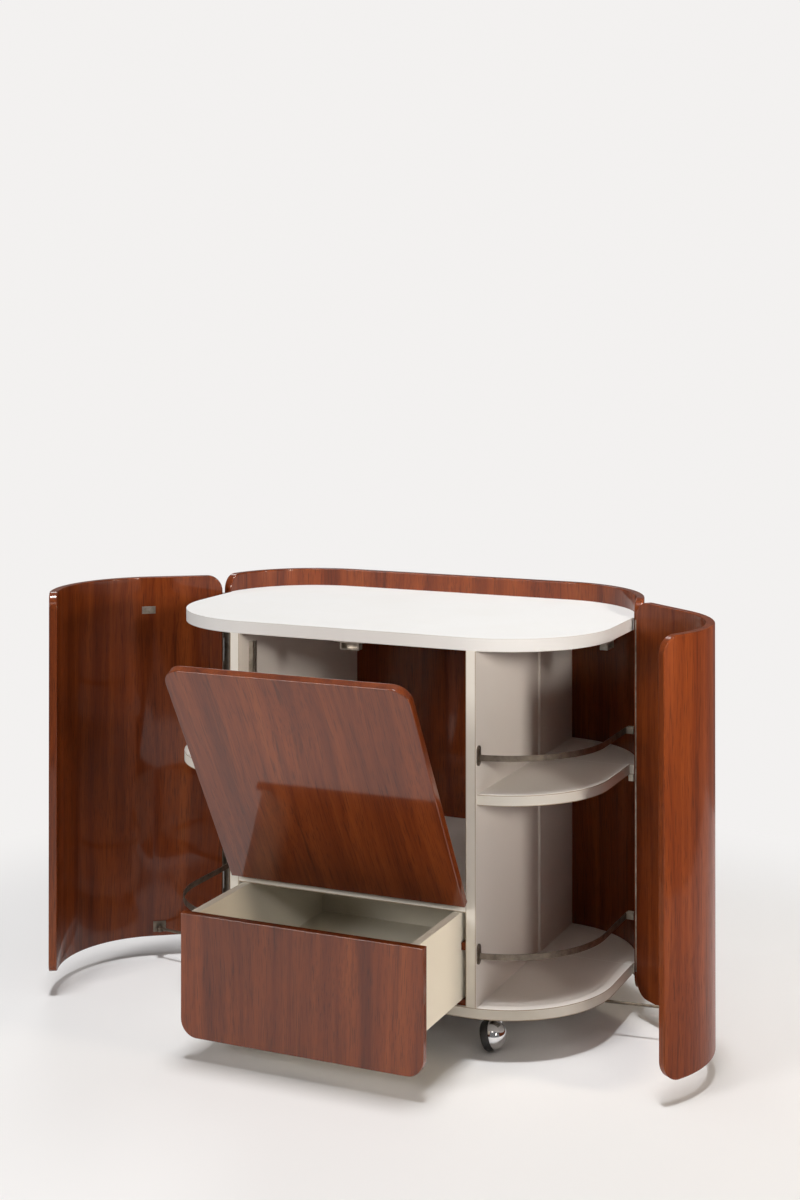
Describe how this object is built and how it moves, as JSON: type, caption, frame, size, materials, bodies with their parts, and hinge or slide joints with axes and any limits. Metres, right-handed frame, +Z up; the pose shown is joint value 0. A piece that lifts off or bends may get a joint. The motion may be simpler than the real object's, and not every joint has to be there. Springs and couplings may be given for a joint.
{
  "type": "mobile bar cart",
  "caption": "Round-cornered bar cart on casters with bent veneered doors, a fall flap, a drawer and white shelves inside.",
  "frame": {"origin": "on the floor, under the middle of the box around the cart as it stands with doors, flap and drawer part open", "axes": "+X to the right as seen from the front, +Y to the back, +Z up"},
  "size_m": [1.2416, 0.7551, 0.737],
  "materials": {
    "veneer": "gloss lacquer over rosewood veneer",
    "laminate": "white plastic laminate on board",
    "drawer_wood": "painted cream",
    "runner_wood": "waxed hardwood",
    "bronze": "dull bronze",
    "hinge_steel": "satin",
    "clip": "matte",
    "chrome": "polished",
    "tyre": "satin black"
  },
  "bodies": {
    "carcass": {"top_board": "laminate", "floor_board": "laminate", "left_divider": "laminate", "right_divider": "laminate", "bar_shelf": "laminate", "left_shelf": "laminate", "right_shelf": "laminate", "divider_liners": "laminate", "back_shell": "veneer", "left_upper_rail": "bronze", "left_lower_rail": "bronze", "right_upper_rail": "bronze", "right_lower_rail": "bronze", "rail_clips": "clip", "rail_screws": "bronze", "shelf_clips": "clip", "flap_catch": "hinge_steel", "door_catches": "hinge_steel", "flap_stay_track": "bronze", "drawer_runners": "runner_wood", "drawer_guides": "runner_wood", "left_shell_hinge_leaf": "hinge_steel", "right_shell_hinge_leaf": "hinge_steel", "door_hinge_pins": "hinge_steel", "shelf_hinge_leaf": "hinge_steel", "flap_hinge_pin": "hinge_steel", "stay_guide_posts": "hinge_steel", "caster_plates": "hinge_steel"},
    "left_door": {"left_door": "veneer", "left_door_hinge_leaf": "hinge_steel", "left_door_strike": "hinge_steel", "left_stay_bracket": "bronze"},
    "right_door": {"right_door": "veneer", "right_door_hinge_leaf": "hinge_steel", "right_door_strike": "hinge_steel", "right_stay_bracket": "bronze"},
    "flap": {"flap": "veneer", "flap_hinge_leaf": "hinge_steel", "flap_strike": "hinge_steel", "flap_stay_bracket": "bronze"},
    "drawer": {"drawer_front": "veneer", "drawer_left_side": "drawer_wood", "drawer_right_side": "drawer_wood", "drawer_back": "drawer_wood", "drawer_bottom": "drawer_wood"},
    "flap_stay_arm": {"flap_stay_arm": "bronze"},
    "flap_stay_shoe": {"flap_stay_shoe": "bronze"},
    "left_stay_rod": {"left_stay_rod": "bronze"},
    "right_stay_rod": {"right_stay_rod": "bronze"},
    "left_stay_guide": {"left_stay_guide": "hinge_steel"},
    "right_stay_guide": {"right_stay_guide": "hinge_steel"},
    "front_left_caster": {"front_left_hood": "chrome"},
    "front_left_wheel": {"front_left_wheel": "tyre"},
    "front_right_caster": {"front_right_hood": "chrome"},
    "front_right_wheel": {"front_right_wheel": "tyre"},
    "back_left_caster": {"back_left_hood": "chrome"},
    "back_left_wheel": {"back_left_wheel": "tyre"},
    "back_right_caster": {"back_right_hood": "chrome"},
    "back_right_wheel": {"back_right_wheel": "tyre"}
  },
  "joints": [
    {"name": "left_door_hinge", "type": "hinge", "parent": "carcass", "child": "left_door", "pos_m": [-0.4294, 0.193, 0.3875], "axis": [0, 0, -1], "range_deg": [-55.5, 39.5]},
    {"name": "right_door_hinge", "type": "hinge", "parent": "carcass", "child": "right_door", "pos_m": [0.4294, 0.193, 0.3875], "axis": [0, 0, 1], "range_deg": [-52.7, 42.3]},
    {"name": "flap_hinge", "type": "hinge", "parent": "carcass", "child": "flap", "pos_m": [0, -0.1255, 0.2652], "axis": [1, 0, 0], "range_deg": [-30.6, 54.4]},
    {"name": "drawer_slide", "type": "slide", "parent": "carcass", "child": "drawer", "axis": [0, -1, 0], "range_m": [-0.172, 0.19]},
    {"name": "flap_stay_arm_pivot", "type": "hinge", "parent": "flap", "child": "flap_stay_arm", "pos_m": [-0.203, -0.21304, 0.42248], "axis": [1, 0, 0], "range_deg": [-109, 61.5]},
    {"name": "flap_stay_shoe_pivot", "type": "hinge", "parent": "flap_stay_arm", "child": "flap_stay_shoe", "pos_m": [-0.203, -0.11739, 0.57496], "axis": [1, 0, 0], "range_deg": [-31, 55]},
    {"name": "left_stay_rod_pivot", "type": "hinge", "parent": "left_door", "child": "left_stay_rod", "pos_m": [-0.51381, 0.09689, 0.057], "axis": [0, 0, -1], "range_deg": [-19.95, 27.95]},
    {"name": "left_stay_guide_pivot", "type": "hinge", "parent": "carcass", "child": "left_stay_guide", "pos_m": [-0.37492, 0.07727, 0.057], "axis": [0, 0, -1], "range_deg": [-27.95, 19.95]},
    {"name": "right_stay_rod_pivot", "type": "hinge", "parent": "right_door", "child": "right_stay_rod", "pos_m": [0.50901, 0.09288, 0.057], "axis": [0, 0, 1], "range_deg": [-21.35, 26.55]},
    {"name": "right_stay_guide_pivot", "type": "hinge", "parent": "carcass", "child": "right_stay_guide", "pos_m": [0.37492, 0.07727, 0.057], "axis": [0, 0, 1], "range_deg": [-26.55, 21.35]},
    {"name": "front_left_swivel", "type": "hinge", "parent": "carcass", "child": "front_left_caster", "pos_m": [-0.251, -0.054, 0.06], "axis": [0, 0, 1], "continuous": true},
    {"name": "front_left_roll", "type": "hinge", "parent": "front_left_caster", "child": "front_left_wheel", "pos_m": [-0.2642, -0.06549, 0.02691], "axis": [0.9187, -0.2985, 0.2588], "continuous": true},
    {"name": "front_right_swivel", "type": "hinge", "parent": "carcass", "child": "front_right_caster", "pos_m": [0.251, -0.054, 0.06], "axis": [0, 0, 1], "continuous": true},
    {"name": "front_right_roll", "type": "hinge", "parent": "front_right_caster", "child": "front_right_wheel", "pos_m": [0.24307, -0.06959, 0.02691], "axis": [0.9636, 0.0674, 0.2588], "continuous": true},
    {"name": "back_left_swivel", "type": "hinge", "parent": "carcass", "child": "back_left_caster", "pos_m": [-0.251, 0.291, 0.06], "axis": [0, 0, 1], "continuous": true},
    {"name": "back_left_roll", "type": "hinge", "parent": "back_left_caster", "child": "back_left_wheel", "pos_m": [-0.25373, 0.27372, 0.02691], "axis": [0.8956, 0.3618, 0.2588], "continuous": true},
    {"name": "back_right_swivel", "type": "hinge", "parent": "carcass", "child": "back_right_caster", "pos_m": [0.251, 0.291, 0.06], "axis": [0, 0, 1], "continuous": true},
    {"name": "back_right_roll", "type": "hinge", "parent": "back_right_caster", "child": "back_right_wheel", "pos_m": [0.23953, 0.27779, 0.02691], "axis": [0.9513, -0.1677, 0.2588], "continuous": true}
  ],
  "couplings": [
    {"joint": "flap_stay_arm_pivot", "follows": "flap_hinge", "ratio": -2},
    {"joint": "flap_stay_shoe_pivot", "follows": "flap_hinge", "ratio": 1},
    {"joint": "left_stay_rod_pivot", "follows": "left_door_hinge", "ratio": -0.5},
    {"joint": "left_stay_guide_pivot", "follows": "left_door_hinge", "ratio": 0.5},
    {"joint": "right_stay_rod_pivot", "follows": "right_door_hinge", "ratio": -0.5},
    {"joint": "right_stay_guide_pivot", "follows": "right_door_hinge", "ratio": 0.5}
  ]
}
